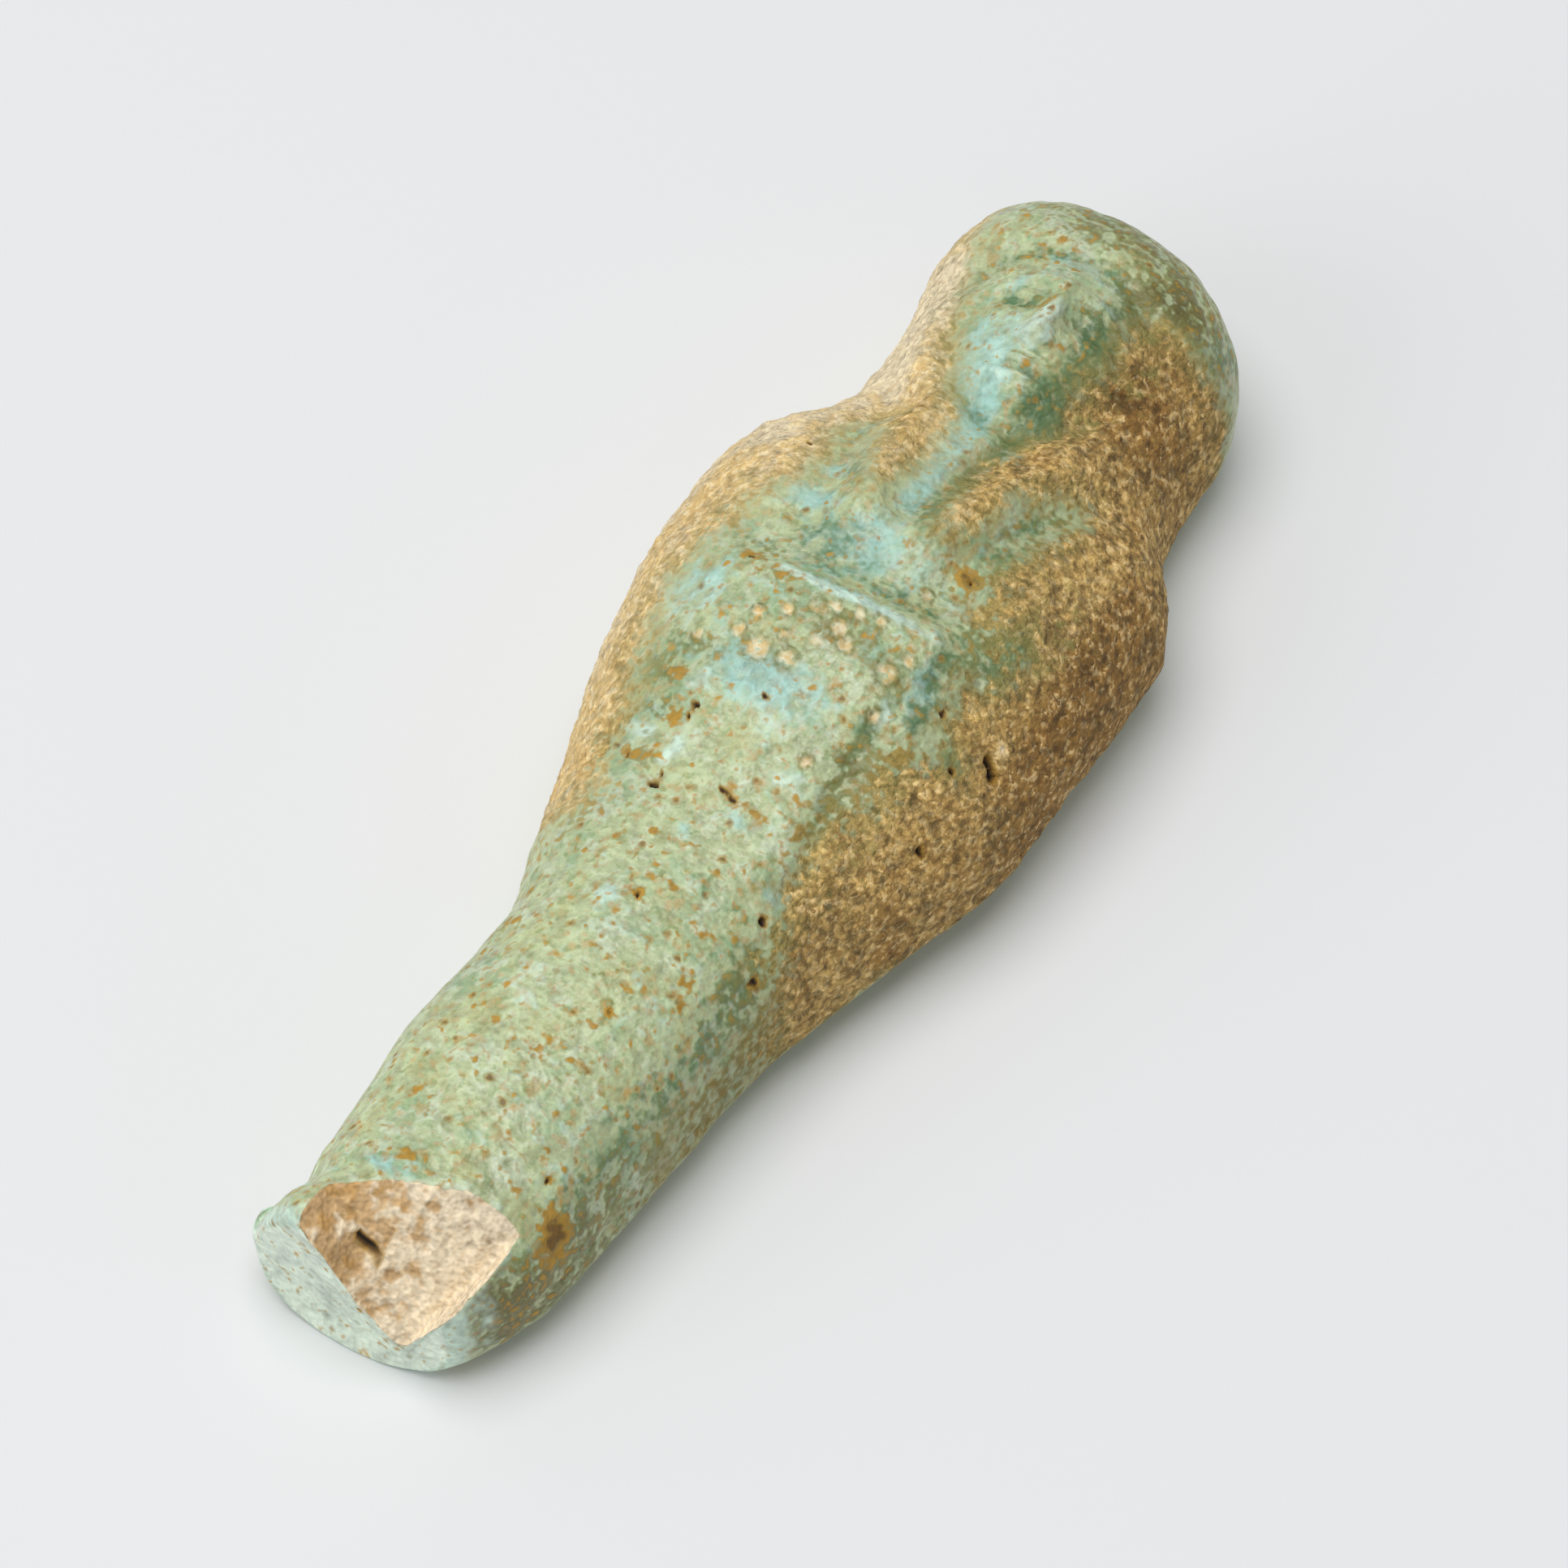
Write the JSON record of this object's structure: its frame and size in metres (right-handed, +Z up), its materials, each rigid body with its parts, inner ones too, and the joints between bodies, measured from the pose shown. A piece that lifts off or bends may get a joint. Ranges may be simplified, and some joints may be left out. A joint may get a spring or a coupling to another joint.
{
  "type": "ushabti figurine",
  "caption": "Small mummy-shaped funerary figurine of glazed faience with a long wig and folded arms, foot broken off, lying on its back.",
  "frame": {"origin": "on the ground under the middle of the footprint, where the flat of the back rests", "axes": "+Y from the soles to the crown, +X to the figure's left, +Z up out of the chest as the figurine lies on its back"},
  "size_m": [0.0344, 0.1, 0.0203],
  "materials": {
    "faience": "worn blue-green alkaline glaze with satin gloss and ochre specks, rubbed through to a gritty sandy-brown quartz body on the flanks and wig"
  },
  "bodies": {
    "root": {"figurine": "faience"}
  },
  "joints": []
}
